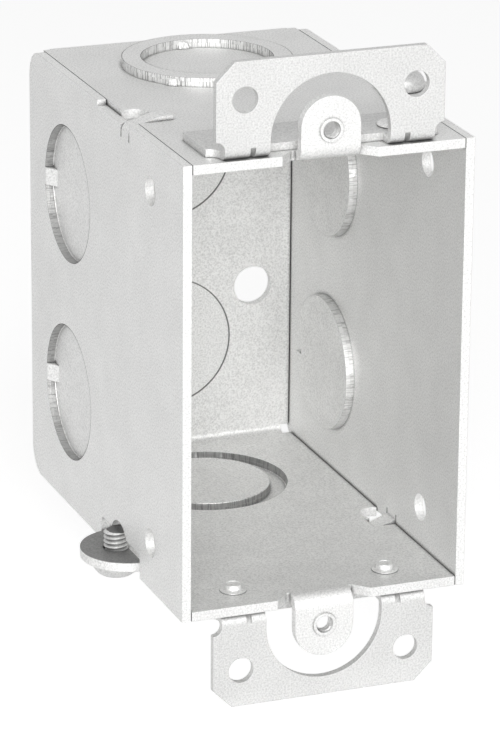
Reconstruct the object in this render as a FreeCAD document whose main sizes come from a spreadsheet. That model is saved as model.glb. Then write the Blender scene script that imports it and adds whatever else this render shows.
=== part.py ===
import FreeCAD, Part
import Sketcher
import math
import os
import types

# Switch box: a single-gang wall box of folded and pressed zinc-plated sheet steel.
# Its two side plates lift off, so that boxes can be ganged side by side.
# Millimetres. X runs across the front, Y runs into the wall and Z runs up.
# The origin is midway between the two device screw holes, in the plane of the box's front.
# The box looks the same after half a turn about Y, and most pieces are made once and turned.

# Driving sizes: name, value and what it measures.
DRIVING_SIZES = (
    ("box_height", 76.2, "outside, over the two end walls"),
    ("box_width", 49.2, "outside, over the two side plates"),
    ("box_depth", 76.2, "front edge to the back of the box"),
    ("body_sheet", 1.6, "thickness of the folded body"),
    ("plate_sheet", 1.5, "thickness of a side plate"),
    ("plate_seam", 0.15, "gap between the body and a side plate"),
    ("back_bend_radius", 1.2, "inside radius of the body's two back bends"),
    ("back_relief_width", 1.5, "notch at each end of a back bend, along X"),
    ("device_spacing", 83.34, "between the two device screw holes"),
    ("device_hole", 2.9, "diameter of a device screw hole inside its thread"),
    ("device_rim", 3.9, "outside diameter of the rim drawn up round that hole"),
    ("device_rim_height", 0.35, "height of that rim"),
    ("tab_width", 10.1, "width of a device tab and of its round end"),
    ("tab_past_hole", 5.5, "from the device hole to the tip of its tab"),
    ("tab_bend_radius", 0.8, "inside radius of a device tab's bend"),
    ("tab_relief_width", 3.1, "slanted notch each side of a device tab, at the front edge"),
    ("tab_relief_floor", 0.6, "width of that notch where it meets the tab's bend"),
    ("tab_relief_margin", 0.2, "how far that notch runs past the tab's bend"),
    ("lug_radius", 8.0, "half-round clamp lug at the edge of an end wall"),
    ("lug_setback", 0.15, "from the end wall's edge in to the lug's centre"),
    ("clamp_depth", 31.2, "from the front to the clamp screw and the clamp notch"),
    ("clamp_screw_out", 0.3, "from a side plate's face out to the clamp screw"),
    ("screw_diameter", 4.17, "over the thread of a clamp screw"),
    ("screw_clearance", 0.05, "round a clamp screw in its tapped lug"),
    ("screw_length", 4.8, "under the head of a clamp screw"),
    ("head_diameter", 8.2, "of a clamp screw's pan head"),
    ("head_height", 3.0, "of a clamp screw's pan head"),
    ("slot_width", 1.2, "of the slot in that head"),
    ("slot_depth", 1.3, "of the slot in that head"),
    ("head_seat_gap", 0.02, "between that head and the lug"),
    ("clamp_notch", 5.0, "diameter of the open notch that takes the next box's screw"),
    ("clamp_notch_inset", 1.35, "from the end wall's edge in to that notch's centre"),
    ("finger_front", 25.5, "from the front to a side plate's hook finger"),
    ("finger_width", 3.4, "of a hook finger, along Y"),
    ("finger_slot_depth", 3.95, "of the slot in the end wall's edge for the finger"),
    ("finger_clearance", 0.4, "in front of the finger in that slot, and at its root"),
    ("finger_step_clearance", 0.1, "between the finger's step and the slot's floor"),
    ("finger_lift", 0.05, "between the finger's tip and the end wall under it"),
    ("finger_reach", 7.7, "from the side plate's face to the finger's tip"),
    ("finger_tip_sheet", 0.7, "thickness of the finger's coined tip"),
    ("finger_step", 0.9, "height of the step behind that tip"),
    ("finger_root_sheet", 1.8, "thickness of the finger over its root, where it bends"),
    ("finger_bend_radius", 1.6, "outside radius at the root of the finger"),
    ("finger_root_drop", 3.1, "from the end wall's face down to the finger's root"),
    ("rivet_spacing", 26.7, "between the two rivets of a plaster ear"),
    ("rivet_depth", 6.7, "from the front to the rivets"),
    ("rivet_shank", 3.1, "diameter of a rivet's shank"),
    ("rivet_clearance", 0.03, "round a rivet's shank"),
    ("rivet_end", 1.2, "how far a rivet's shank stands out inside the box"),
    ("rivet_head", 5.4, "diameter of a rivet's head on the plaster ear"),
    ("rivet_head_height", 0.8, "of that head"),
    ("rivet_seat_gap", 0.02, "between a rivet's head and the plaster ear"),
    ("end_knockout_depth", 55.5, "from the front to an end wall's knockout"),
    ("end_knockout_outer", 28.6, "diameter of its outer ring"),
    ("end_knockout_inner", 22.4, "diameter of its middle disc"),
    ("end_knockout_push", 1.5, "how far the ring is sheared outwards"),
    ("back_knockout_height", 17.3, "from the middle of the back to a knockout"),
    ("back_knockout", 23.0, "diameter of a back knockout"),
    ("back_knockout_push", 0.12, "how far its shearing has set it back"),
    ("back_hole", 7.0, "diameter of a hole in the back"),
    ("back_hole_across", 15.9, "from the middle of the back to a hole, along X"),
    ("back_hole_up", 8.5, "from the middle of the back to a hole, along Z"),
    ("side_knockout", 23.5, "diameter of a side plate's knockout"),
    ("side_knockout_depth", 56.4, "from the front to a side knockout"),
    ("side_knockout_height", 17.6, "from the middle of a side plate to a knockout"),
    ("side_knockout_push", 1.42, "how far that knockout is sheared inwards"),
    ("tie_width", 3.0, "of the tie that holds a side knockout"),
    ("tie_length", 2.5, "of that tie"),
    ("tie_root", 0.4, "level stretch where the tie leaves the plate"),
    ("nail_hole", 4.8, "diameter of a nail hole in a side plate"),
    ("nail_hole_depth", 15.1, "from the front to the nail holes"),
    ("nail_hole_height", 29.9, "from the middle of a side plate to a nail hole"),
    ("plate_corner", 4.8, "radius of a side plate's two back corners"),
    ("lug_gap_front", 20.3, "from the front to the plate's gap for the lug"),
    ("lug_gap_back", 39.5, "from the front to the far side of that gap"),
    ("lug_gap_rise", 4.2, "height of that gap over the end wall's face"),
    ("lug_gap_corner", 1.2, "radius of that gap's two corners"),
    ("screw_arch_depth", 30.6, "from the front to the arch over the clamp screw"),
    ("screw_arch_radius", 4.2, "radius of that arch"),
    ("screw_arch_drop", 2.1, "from the gap's top down to the arch's centre"),
    ("edge_dip_back", 40.6, "from the front to the end of the dip behind the finger"),
    ("edge_dip", 0.9, "depth of that dip in the plate's edge"),
    ("ear_sheet", 1.3, "thickness of a plaster ear"),
    ("ear_bend_radius", 0.4, "inside radius of a plaster ear's bend"),
    ("ear_seat_gap", 0.02, "between a plaster ear and the end wall"),
    ("ear_width", 38.4, "of a plaster ear's face"),
    ("ear_reach", 15.9, "from the end wall's face to a plaster ear's far edge"),
    ("ear_corner_cut", 3.1, "of the two cut corners of that face"),
    ("ear_flange_width", 39.2, "of the flange on the end wall"),
    ("ear_flange_depth", 14.0, "from the front to the flange's far edge"),
    ("ear_bend_width", 35.4, "of the bend between face and flange"),
    ("ear_window_width", 20.2, "of the round-topped window over the device tab"),
    ("ear_window_margin", 3.1, "from the window's top to the ear's far edge"),
    ("ear_window_depth", 3.2, "how far the window runs back into the flange"),
    ("ear_hole", 4.3, "diameter of a screw hole in a plaster ear"),
    ("ear_hole_spacing", 28.8, "between the two holes of one plaster ear"),
    ("ear_hole_rows", 95.6, "between the holes of the two plaster ears"),
    ("gusset_spacing", 26.0, "between the two gussets of a plaster ear's bend"),
    ("gusset_width", 1.8, "of a gusset"),
    ("gusset_leg", 1.2, "how far a gusset runs up the face and along the flange inside"),
    ("gusset_dent", 1.9, "how far its dent runs up the face and along the flange outside"),
)

# Directions of a pad or a cut along the axis that its view looks along.
FORWARD = 1
BACKWARD = -1
BOTH_WAYS = 0

# The three views that outlines are drawn in, and whether each faces up its axis or down it.
# A front view reads X and Z, a side view Y and Z, a top view X and Y.
VIEWS = {
    "front": ("XZ_Plane", -1),
    "side": ("YZ_Plane", 1),
    "top": ("XY_Plane", 1),
}

HALF_TURN = FreeCAD.Rotation(FreeCAD.Vector(0, 1, 0), 180)
UNTURNED = FreeCAD.Rotation()


class Size:
    """A length worked out from the driving sizes: its formula and its present value."""

    def __init__(self, formula, value):
        self.formula = formula
        self.value = value

    def __add__(self, other):
        other = as_size(other)
        return Size("(%s + %s)" % (self.formula, other.formula), self.value + other.value)

    def __sub__(self, other):
        other = as_size(other)
        return Size("(%s - %s)" % (self.formula, other.formula), self.value - other.value)

    def __rsub__(self, other):
        return as_size(other) - self

    def __mul__(self, factor):
        return Size("%s * %s" % (self.formula, factor), self.value * factor)

    def __truediv__(self, divisor):
        return Size("%s / %s" % (self.formula, divisor), self.value / divisor)

    def __neg__(self):
        return self * -1

    __radd__ = __add__
    __rmul__ = __mul__


def as_size(number):
    """A plain number as a size, so that the two can be added."""
    if isinstance(number, Size):
        return number
    return Size(str(number), float(number))


ZERO = Size("0", 0.0)

doc = FreeCAD.newDocument("SwitchBox")
sheet = doc.addObject("Spreadsheet::Sheet", "Sizes")
for row, (alias, value, note) in enumerate(DRIVING_SIZES, start=1):
    sheet.set("A%d" % row, alias)
    sheet.set("B%d" % row, str(value))
    sheet.set("C%d" % row, note)
    sheet.setAlias("B%d" % row, alias)
doc.recompute()

given = types.SimpleNamespace()
for alias, value, note in DRIVING_SIZES:
    setattr(given, alias, Size("Sizes." + alias, float(sheet.get(alias))))

# Places that more than one piece uses.
side_face = given.box_width / 2
plate_inside = side_face - given.plate_sheet
wall_edge = plate_inside - given.plate_seam
end_face = given.box_height / 2
end_inside = end_face - given.body_sheet
back_face = given.box_depth
back_inside = back_face - given.body_sheet
device_height = given.device_spacing / 2
tab_bend_outside = given.tab_bend_radius + given.body_sheet
ear_seat = end_face + given.ear_seat_gap
ear_bend_outside = given.ear_bend_radius + given.ear_sheet
clamp_screw_across = side_face + given.clamp_screw_out
clamp_notch_across = wall_edge - given.clamp_notch_inset
finger_slot_floor = wall_edge - given.finger_slot_depth


def circle(across, up, radius):
    """A circle of a drawing: its centre and its radius."""
    return ("circle", as_size(across), as_size(up), as_size(radius))


def corner(across, up, radius=None):
    """A corner of an outline, or a square corner that a radius rounds."""
    return ("corner", as_size(across), as_size(up), radius)


def arc(across, up, turn):
    """The arc from the corner before it to the corner after it, turning "left" or "right"."""
    return ("arc", as_size(across), as_size(up), turn)


def outline(*steps):
    """A closed outline of a drawing, as corners and the arcs between them."""
    return ("outline", steps)


def mirrored(steps):
    """The same outline reflected across the upright axis and run backwards.

    Reflecting and running backwards each change an arc's turn, so it stays as it was.
    """
    return [(kind, -across, up, extra) for kind, across, up, extra in reversed(steps)]


def step_sign(distance):
    """Which way a straight side runs: 1, -1, or 0 where it doesn't run that way."""
    if abs(distance) < 1e-9:
        return 0
    return 1 if distance > 0 else -1


def moved(start, length, sign):
    """A coordinate moved a length one way or the other, or not at all."""
    if sign == 0:
        return start
    return start + length if sign > 0 else start - length


def plain_steps(steps):
    """The outline with each rounded square corner as two corners and the arc between them."""
    corners = [step for step in steps if step[0] == "corner"]
    plain = []
    for step in steps:
        kind, across, up, radius = step
        if kind == "arc" or radius is None:
            plain.append(step)
            continue
        place = next(index for index, item in enumerate(corners) if item is step)
        before = corners[place - 1]
        after = corners[(place + 1) % len(corners)]
        in_across = step_sign(across.value - before[1].value)
        in_up = step_sign(up.value - before[2].value)
        out_across = step_sign(after[1].value - across.value)
        out_up = step_sign(after[2].value - up.value)
        turn = "left" if in_across * out_up - in_up * out_across > 0 else "right"
        plain.append(corner(moved(across, radius, -in_across), moved(up, radius, -in_up)))
        centre_across = moved(moved(across, radius, -in_across), radius, out_across)
        centre_up = moved(moved(up, radius, -in_up), radius, out_up)
        plain.append(arc(centre_across, centre_up, turn))
        plain.append(corner(moved(across, radius, out_across), moved(up, radius, out_up)))
    return plain


class Drawing:
    """A sketch in one of the views, whose places and radii follow the driving sizes."""

    def __init__(self, body, name, view, level):
        plane, facing = VIEWS[view]
        self.sketch = body.newObject("Sketcher::SketchObject", name)
        origin_plane = next(item for item in body.Origin.OriginFeatures if item.Role == plane)
        self.sketch.AttachmentSupport = [(origin_plane, "")]
        self.sketch.MapMode = "FlatFace"
        if level is not ZERO:
            self.sketch.setExpression("AttachmentOffset.Base.z", (level * facing).formula)

    def hold(self, kind, references, size):
        """Tie one dimension of the sketch to its formula."""
        number = self.sketch.addConstraint(Sketcher.Constraint(kind, *references, size.value))
        self.sketch.setExpression("Constraints[%d]" % number, size.formula)

    def add_circle(self, across, up, radius):
        centre = FreeCAD.Vector(across.value, up.value, 0)
        ring = Part.Circle(centre, FreeCAD.Vector(0, 0, 1), radius.value)
        edge = self.sketch.addGeometry(ring)
        self.hold("DistanceX", (-1, 1, edge, 3), across)
        self.hold("DistanceY", (-1, 1, edge, 3), up)
        self.hold("Radius", (edge,), radius)

    def add_outline(self, steps):
        steps = plain_steps(steps)
        corners = [step for step in steps if step[0] == "corner"]
        arcs = {}
        passed = 0
        for step in steps:
            if step[0] == "arc":
                arcs[passed - 1] = step
            else:
                passed += 1
        sides = []
        for place, start in enumerate(corners):
            end = corners[(place + 1) % len(corners)]
            if place in arcs:
                sides.append(self.add_arc(start, end, arcs[place]))
            else:
                line = Part.LineSegment(point_of(start), point_of(end))
                sides.append((self.sketch.addGeometry(line), 1, 2))
        for place, step in enumerate(corners):
            edge, start, end = sides[place]
            last_edge, last_start, last_end = sides[place - 1]
            joint = Sketcher.Constraint("Coincident", last_edge, last_end, edge, start)
            self.sketch.addConstraint(joint)
            self.hold("DistanceX", (-1, 1, edge, start), step[1])
            self.hold("DistanceY", (-1, 1, edge, start), step[2])
        for place, step in arcs.items():
            # One coordinate of the centre is enough, because the arc's ends are held.
            start = point_of(corners[place])
            end = point_of(corners[(place + 1) % len(corners)])
            if abs(end.x - start.x) > abs(end.y - start.y):
                self.hold("DistanceY", (-1, 1, sides[place][0], 3), step[2])
            else:
                self.hold("DistanceX", (-1, 1, sides[place][0], 3), step[1])

    def add_arc(self, start, end, step):
        """Add one arc and give its edge with the numbers of its first and last points."""
        centre = point_of(step)
        first = point_of(start) - centre
        last = point_of(end) - centre
        ring = Part.Circle(centre, FreeCAD.Vector(0, 0, 1), first.Length)
        first_angle = math.atan2(first.y, first.x)
        last_angle = math.atan2(last.y, last.x)
        if step[3] == "left":
            return (self.sketch.addGeometry(Part.ArcOfCircle(ring, first_angle, last_angle)), 1, 2)
        return (self.sketch.addGeometry(Part.ArcOfCircle(ring, last_angle, first_angle)), 2, 1)

    def draw(self, shapes):
        for shape in shapes:
            if shape[0] == "circle":
                self.add_circle(*shape[1:])
            else:
                self.add_outline(shape[1])


def point_of(step):
    """The present place of a corner or of an arc's centre."""
    return FreeCAD.Vector(step[1].value, step[2].value, 0)


def new_body(label):
    """An empty body whose label names its file."""
    body = doc.addObject("PartDesign::Body", label)
    body.Label = label
    return body


def extrude(kind, body, name, view, level, length, way, shapes):
    """Pad or cut a drawing from its level, one way along the view's axis or evenly both ways."""
    drawing = Drawing(body, name + "_outline", view, as_size(level))
    drawing.draw(shapes)
    step = body.newObject("PartDesign::" + kind, name)
    step.Profile = drawing.sketch
    drawing_faces = VIEWS[view][1]
    if way == BOTH_WAYS:
        step.SideType = "Symmetric"
    elif kind == "Pad":
        step.Reversed = way * drawing_faces < 0
    else:
        # A cut starts against the way that its drawing faces.
        step.Reversed = way * drawing_faces > 0
    step.setExpression("Length", length.formula)
    return step


def pad(*choices):
    return extrude("Pad", *choices)


def cut(*choices):
    return extrude("Pocket", *choices)


def revolve(body, name, steps):
    """Turn an outline, drawn in the front view beside the upright axis, once round that axis."""
    drawing = Drawing(body, name + "_outline", "front", ZERO)
    drawing.draw([outline(*steps)])
    step = body.newObject("PartDesign::Revolution", name)
    step.Profile = drawing.sketch
    step.ReferenceAxis = (drawing.sketch, ["V_Axis"])
    step.Angle = 360
    return step


def repeat_after_half_turn(body, steps):
    """Repeat steps on the other end of the body, half a turn about the Y axis."""
    pattern = body.newObject("PartDesign::PolarPattern", body.Label + "_other_end")
    pattern.Originals = steps
    axis = next(item for item in body.Origin.OriginFeatures if item.Role == "Y_Axis")
    pattern.Axis = (axis, [""])
    pattern.Angle = 360
    pattern.Occurrences = 2
    body.Tip = pattern


def repeat_mirrored(body, steps, plane):
    """Repeat steps as their mirror image across an origin plane of the body."""
    mirror = body.newObject("PartDesign::Mirrored", body.Label + "_mirrored")
    mirror.Originals = steps
    mirror_plane = next(item for item in body.Origin.OriginFeatures if item.Role == plane)
    mirror.MirrorPlane = (mirror_plane, [""])
    body.Tip = mirror


def rectangle(left, right, bottom, top):
    """A square-cornered outline between two places across and two places up."""
    return outline(corner(left, bottom), corner(right, bottom), corner(right, top), corner(left, top))


def place(body, turn, across=ZERO, deep=ZERO, up=ZERO):
    """Set a piece in the box: turned first, then moved to its place."""
    body.Placement = FreeCAD.Placement(FreeCAD.Vector(across.value, deep.value, up.value), turn)
    body.setExpression("Placement.Base.x", across.formula)
    body.setExpression("Placement.Base.y", deep.formula)
    body.setExpression("Placement.Base.z", up.formula)


def make_device_tab(body):
    """The tab that carries a device screw: relieved, bent up from the end wall and tapped."""
    half = given.tab_width / 2
    relief_depth = tab_bend_outside + given.tab_relief_margin
    relief_half = half + given.tab_relief_width
    relief = cut(
        body, "tab_relief", "top", end_inside, given.body_sheet, FORWARD,
        [outline(
            corner(-relief_half, ZERO),
            corner(relief_half, ZERO),
            corner(half + given.tab_relief_floor, relief_depth),
            corner(-half - given.tab_relief_floor, relief_depth),
        )],
    )
    bend_top = end_inside + tab_bend_outside
    bend = pad(
        body, "tab_bend", "side", ZERO, given.tab_width, BOTH_WAYS,
        [outline(
            corner(relief_depth, end_inside),
            corner(relief_depth, end_face),
            corner(tab_bend_outside, end_face),
            arc(tab_bend_outside, bend_top, "right"),
            corner(given.body_sheet, bend_top),
            corner(ZERO, bend_top),
            arc(tab_bend_outside, bend_top, "left"),
            corner(tab_bend_outside, end_inside),
        )],
    )
    round_centre = device_height + given.tab_past_hole - half
    face = pad(
        body, "tab_face", "front", ZERO, given.body_sheet, FORWARD,
        [outline(
            corner(-half, bend_top),
            corner(half, bend_top),
            corner(half, round_centre),
            arc(ZERO, round_centre, "left"),
            corner(-half, round_centre),
        )],
    )
    rim = pad(
        body, "device_rim", "front", ZERO, given.device_rim_height, BACKWARD,
        [circle(ZERO, device_height, given.device_rim / 2)],
    )
    hole = cut(
        body, "device_hole", "front", -given.device_rim_height,
        given.device_rim_height + given.body_sheet, FORWARD,
        [circle(ZERO, device_height, given.device_hole / 2)],
    )
    return [relief, bend, face, rim, hole]


def make_clamp_corners(body):
    """The tapped lug at one edge of the end wall, the notch and the finger slot at the other."""
    lug = pad(
        body, "clamp_lug", "top", end_inside, given.body_sheet, FORWARD,
        [circle(wall_edge - given.lug_setback, given.clamp_depth, given.lug_radius)],
    )
    screw_hole = given.screw_diameter / 2 + given.screw_clearance
    tapping = cut(
        body, "clamp_tapping", "top", end_inside, given.body_sheet, FORWARD,
        [circle(clamp_screw_across, given.clamp_depth, screw_hole)],
    )
    notch = cut(
        body, "clamp_notch", "top", end_inside, given.body_sheet, FORWARD,
        [circle(-clamp_notch_across, given.clamp_depth, given.clamp_notch / 2)],
    )
    slot_front = given.finger_front - given.finger_clearance
    slot_back = given.finger_front + given.finger_width + given.finger_clearance
    slot = cut(
        body, "finger_slot", "top", end_inside, given.body_sheet, FORWARD,
        [rectangle(-plate_inside, -finger_slot_floor, slot_front, slot_back)],
    )
    return [lug, tapping, notch, slot]


def make_end_knockout(body):
    """The concentric knockout: a ring sheared outwards round a disc that stays level."""
    rings = [
        circle(ZERO, given.end_knockout_depth, given.end_knockout_outer / 2),
        circle(ZERO, given.end_knockout_depth, given.end_knockout_inner / 2),
    ]
    ring = pad(
        body, "end_knockout_ring", "top", end_face, given.end_knockout_push, FORWARD, rings,
    )
    recess = cut(
        body, "end_knockout_recess", "top", end_inside, given.end_knockout_push, FORWARD, rings,
    )
    return [ring, recess]


def make_back_features(body):
    """The knockout, barely set back, and the fixing hole of the back wall's upper half."""
    knockout = cut(
        body, "back_knockout", "front", back_inside, given.back_knockout_push, FORWARD,
        [circle(ZERO, given.back_knockout_height, given.back_knockout / 2)],
    )
    hole = cut(
        body, "back_hole", "front", back_inside, given.body_sheet, FORWARD,
        [circle(-given.back_hole_across, given.back_hole_up, given.back_hole / 2)],
    )
    return [knockout, hole]


def make_bend_reliefs(body):
    """The small notches that free the ends of the back bend."""
    bend_outside = given.back_bend_radius + given.body_sheet
    relief_start = wall_edge - given.back_relief_width
    relief_front = back_face - bend_outside
    level = end_face - bend_outside
    shapes = [
        rectangle(relief_start, plate_inside, relief_front, back_face + given.body_sheet),
        rectangle(-plate_inside, -relief_start, relief_front, back_face + given.body_sheet),
    ]
    return [cut(body, "bend_relief", "top", level, bend_outside, FORWARD, shapes)]


def make_rivet_holes(body):
    """The two holes of the end wall that the plaster ear's rivets pass through."""
    across = given.rivet_spacing / 2
    radius = given.rivet_shank / 2 + given.rivet_clearance
    shapes = [circle(across, given.rivet_depth, radius), circle(-across, given.rivet_depth, radius)]
    return [cut(body, "rivet_holes", "top", end_inside, given.body_sheet, FORWARD, shapes)]


def make_box_body():
    """The body: one sheet folded to a channel of two end walls and a back, with its tabs and lugs."""
    body = new_body("box_body")
    bend_outside = given.back_bend_radius + given.body_sheet
    pad(
        body, "channel", "side", ZERO, wall_edge * 2, BOTH_WAYS,
        [outline(
            corner(ZERO, -end_face),
            corner(back_face, -end_face, bend_outside),
            corner(back_face, end_face, bend_outside),
            corner(ZERO, end_face),
            corner(ZERO, end_inside),
            corner(back_inside, end_inside, given.back_bend_radius),
            corner(back_inside, -end_inside, given.back_bend_radius),
            corner(ZERO, -end_inside),
        )],
    )
    upper_end = make_device_tab(body)
    upper_end += make_clamp_corners(body)
    upper_end += make_rivet_holes(body)
    upper_end += make_end_knockout(body)
    upper_end += make_back_features(body)
    upper_end += make_bend_reliefs(body)
    repeat_after_half_turn(body, upper_end)
    return body


def plate_outline():
    """The left side plate seen from the side: dipped edge above, gap for the clamp lug below."""
    gap_top = given.lug_gap_rise - end_face
    arch_centre = gap_top - given.screw_arch_drop
    radius = given.screw_arch_radius
    drop = given.screw_arch_drop
    half_formula = "sqrt(%s * %s - %s * %s)" % (
        radius.formula, radius.formula, drop.formula, drop.formula)
    arch_half = Size(half_formula, math.sqrt(radius.value ** 2 - drop.value ** 2))
    finger_back = given.finger_front + given.finger_width
    root = end_face - given.finger_root_drop
    dip = end_face - given.edge_dip
    return outline(
        corner(ZERO, -end_face),
        corner(given.lug_gap_front, -end_face),
        corner(given.lug_gap_front, gap_top, given.lug_gap_corner),
        corner(given.screw_arch_depth - arch_half, gap_top),
        arc(given.screw_arch_depth, arch_centre, "right"),
        corner(given.screw_arch_depth + arch_half, gap_top),
        corner(given.lug_gap_back, gap_top, given.lug_gap_corner),
        corner(given.lug_gap_back, -end_face),
        corner(back_face, -end_face, given.plate_corner),
        corner(back_face, end_face, given.plate_corner),
        corner(given.edge_dip_back, end_face),
        corner(given.edge_dip_back, dip),
        corner(finger_back + given.finger_clearance, dip),
        corner(finger_back + given.finger_clearance, root),
        corner(given.finger_front - given.finger_clearance, root),
        corner(given.finger_front - given.finger_clearance, end_face),
        corner(ZERO, end_face),
    )


def make_hook_finger(body):
    """The finger bent in from the plate's edge, through the end wall's slot and over the wall."""
    root = end_face - given.finger_root_drop
    radius = given.finger_bend_radius
    tip = side_face - given.finger_reach
    step = finger_slot_floor + given.finger_step_clearance
    underside = end_face + given.finger_lift
    tip_top = underside + given.finger_tip_sheet
    bend_top = end_face - given.edge_dip / 2
    return pad(
        body, "hook_finger", "front", given.finger_front, given.finger_width, FORWARD,
        [outline(
            corner(-side_face, root),
            corner(-plate_inside, root),
            corner(-plate_inside, bend_top - given.finger_root_sheet),
            corner(-step, underside - given.finger_step),
            corner(-step, underside),
            corner(-tip, underside),
            corner(-tip, tip_top),
            corner(-step, tip_top),
            corner(radius - side_face, bend_top),
            arc(radius - side_face, bend_top - radius, "left"),
            corner(-side_face, bend_top - radius),
        )],
    )


def make_side_plate(label, turn):
    """A side plate with its hook finger, two knockouts hanging by their ties and two nail holes."""
    body = new_body(label)
    pad(body, "plate", "side", -side_face, given.plate_sheet, FORWARD, [plate_outline()])
    make_hook_finger(body)
    disc = [circle(given.side_knockout_depth, given.side_knockout_height, given.side_knockout / 2)]
    push = given.side_knockout_push
    knockout = pad(body, "knockout_disc", "side", -plate_inside, push, FORWARD, disc)
    recess = cut(body, "knockout_recess", "side", -side_face, push, FORWARD, disc)
    tie_back = given.side_knockout_depth + given.side_knockout / 2
    tie_front = tie_back - given.tie_length
    root_front = tie_back - given.tie_root
    root_back = tie_back + given.tie_root
    tie = pad(
        body, "knockout_tie", "top", given.side_knockout_height, given.tie_width, BOTH_WAYS,
        [outline(
            corner(-side_face, root_front),
            corner(push - side_face, tie_front),
            corner(push - side_face, root_back),
            corner(-side_face, root_back),
        )],
    )
    dent = cut(
        body, "knockout_tie_dent", "top", given.side_knockout_height, given.tie_width, BOTH_WAYS,
        [outline(
            corner(-plate_inside, root_front),
            corner(-plate_inside, root_back),
            corner(push - plate_inside, root_back),
            corner(push - plate_inside, tie_front),
        )],
    )
    nail_hole = cut(
        body, "nail_hole", "side", -side_face, given.plate_sheet, FORWARD,
        [circle(given.nail_hole_depth, given.nail_hole_height, given.nail_hole / 2)],
    )
    repeat_mirrored(body, [knockout, recess, tie, dent, nail_hole], "XY_Plane")
    place(body, turn)
    return body


def ear_face_outline():
    """Half of a plaster ear's face, from the bend's notch round the cut corner to the middle."""
    half = given.ear_width / 2
    bend_half = given.ear_bend_width / 2
    bend_top = ear_seat + ear_bend_outside
    top = end_face + given.ear_reach
    return [
        corner(bend_half, bend_top),
        arc(half, bend_top, "right"),
        corner(half, bend_top + (half - bend_half)),
        corner(half, top - given.ear_corner_cut),
        corner(half - given.ear_corner_cut, top),
    ]


def ear_flange_outline():
    """Half of a plaster ear's flange, from the bend's notch to its far corner."""
    half = given.ear_flange_width / 2
    bend_half = given.ear_bend_width / 2
    return [
        corner(bend_half, ear_bend_outside),
        arc(half, ear_bend_outside, "right"),
        corner(half, ear_bend_outside + (half - bend_half)),
        corner(half, given.ear_flange_depth),
    ]


def make_plaster_ear(label, turn):
    """A plaster ear: its face, its bend with two gussets, and its flange on the end wall."""
    body = new_body(label)
    bend_centre = ear_seat + ear_bend_outside
    face_half = ear_face_outline()
    pad(
        body, "ear_face", "front", ZERO, given.ear_sheet, FORWARD,
        [outline(*face_half, *mirrored(face_half))],
    )
    pad(
        body, "ear_bend", "side", ZERO, given.ear_bend_width, BOTH_WAYS,
        [outline(
            corner(ZERO, bend_centre),
            arc(ear_bend_outside, bend_centre, "left"),
            corner(ear_bend_outside, ear_seat),
            corner(ear_bend_outside, ear_seat + given.ear_sheet),
            arc(ear_bend_outside, bend_centre, "right"),
            corner(given.ear_sheet, bend_centre),
        )],
    )
    flange_half = ear_flange_outline()
    pad(
        body, "ear_flange", "top", ear_seat, given.ear_sheet, FORWARD,
        [outline(*flange_half, *mirrored(flange_half))],
    )
    window_half = given.ear_window_width / 2
    window_centre = end_face + given.ear_reach - given.ear_window_margin - window_half
    cut(
        body, "ear_window", "front", ZERO, given.ear_window_depth, FORWARD,
        [outline(
            corner(-window_half, end_face),
            corner(window_half, end_face),
            corner(window_half, window_centre),
            arc(ZERO, window_centre, "left"),
            corner(-window_half, window_centre),
        )],
    )
    hole_across = given.ear_hole_spacing / 2
    hole_up = given.ear_hole_rows / 2
    hole_radius = given.ear_hole / 2
    cut(
        body, "ear_holes", "front", ZERO, given.ear_sheet, FORWARD,
        [circle(hole_across, hole_up, hole_radius), circle(-hole_across, hole_up, hole_radius)],
    )
    rivet_across = given.rivet_spacing / 2
    rivet_radius = given.rivet_shank / 2 + given.rivet_clearance
    cut(
        body, "ear_rivet_holes", "top", ear_seat, given.ear_sheet, FORWARD,
        [
            circle(rivet_across, given.rivet_depth, rivet_radius),
            circle(-rivet_across, given.rivet_depth, rivet_radius),
        ],
    )
    gusset_across = given.gusset_spacing / 2
    inside_corner = ear_seat + given.ear_sheet
    gusset = pad(
        body, "gusset", "side", gusset_across, given.gusset_width, BOTH_WAYS,
        [outline(
            corner(given.ear_sheet, inside_corner),
            corner(given.ear_sheet + given.gusset_leg, inside_corner),
            corner(given.ear_sheet, inside_corner + given.gusset_leg),
        )],
    )
    dent = cut(
        body, "gusset_dent", "side", gusset_across, given.gusset_width / 2, BOTH_WAYS,
        [outline(
            corner(ZERO, ear_seat),
            corner(given.gusset_dent, ear_seat),
            corner(ZERO, ear_seat + given.gusset_dent),
        )],
    )
    repeat_mirrored(body, [gusset, dent], "YZ_Plane")
    place(body, turn)
    return body


def make_rivet(label, turn, across, up):
    """A rivet: low head on the plaster ear, and a shank whose end stands out inside the box."""
    body = new_body(label)
    shank = given.rivet_shank / 2
    head = given.rivet_head / 2
    grip = given.body_sheet + given.ear_seat_gap + given.ear_sheet
    head_under = grip + given.rivet_seat_gap
    head_top = head_under + given.rivet_head_height
    revolve(
        body, "rivet",
        [
            corner(ZERO, -given.rivet_end),
            corner(shank, -given.rivet_end),
            corner(shank, head_under),
            corner(head, head_under),
            corner(head, head_top),
            corner(ZERO, head_top),
        ],
    )
    place(body, turn, across, given.rivet_depth, up)
    return body


def make_clamp_screw(label, turn, across, up):
    """A clamp screw: slotted pan head over the lug, and a shank that ends inside the box."""
    body = new_body(label)
    shank = given.screw_diameter / 2
    head = given.head_diameter / 2
    under = given.head_seat_gap
    tip = under - given.screw_length
    revolve(
        body, "screw",
        [
            corner(ZERO, tip),
            corner(shank, tip),
            corner(shank, under),
            corner(head, under),
            corner(head, under + given.head_height),
            corner(ZERO, under + given.head_height),
        ],
    )
    cut(
        body, "driver_slot", "top", under + given.head_height, given.slot_depth, BACKWARD,
        [rectangle(-head, head, -given.slot_width / 2, given.slot_width / 2)],
    )
    place(body, turn, across, given.clamp_depth, up)
    return body


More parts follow.
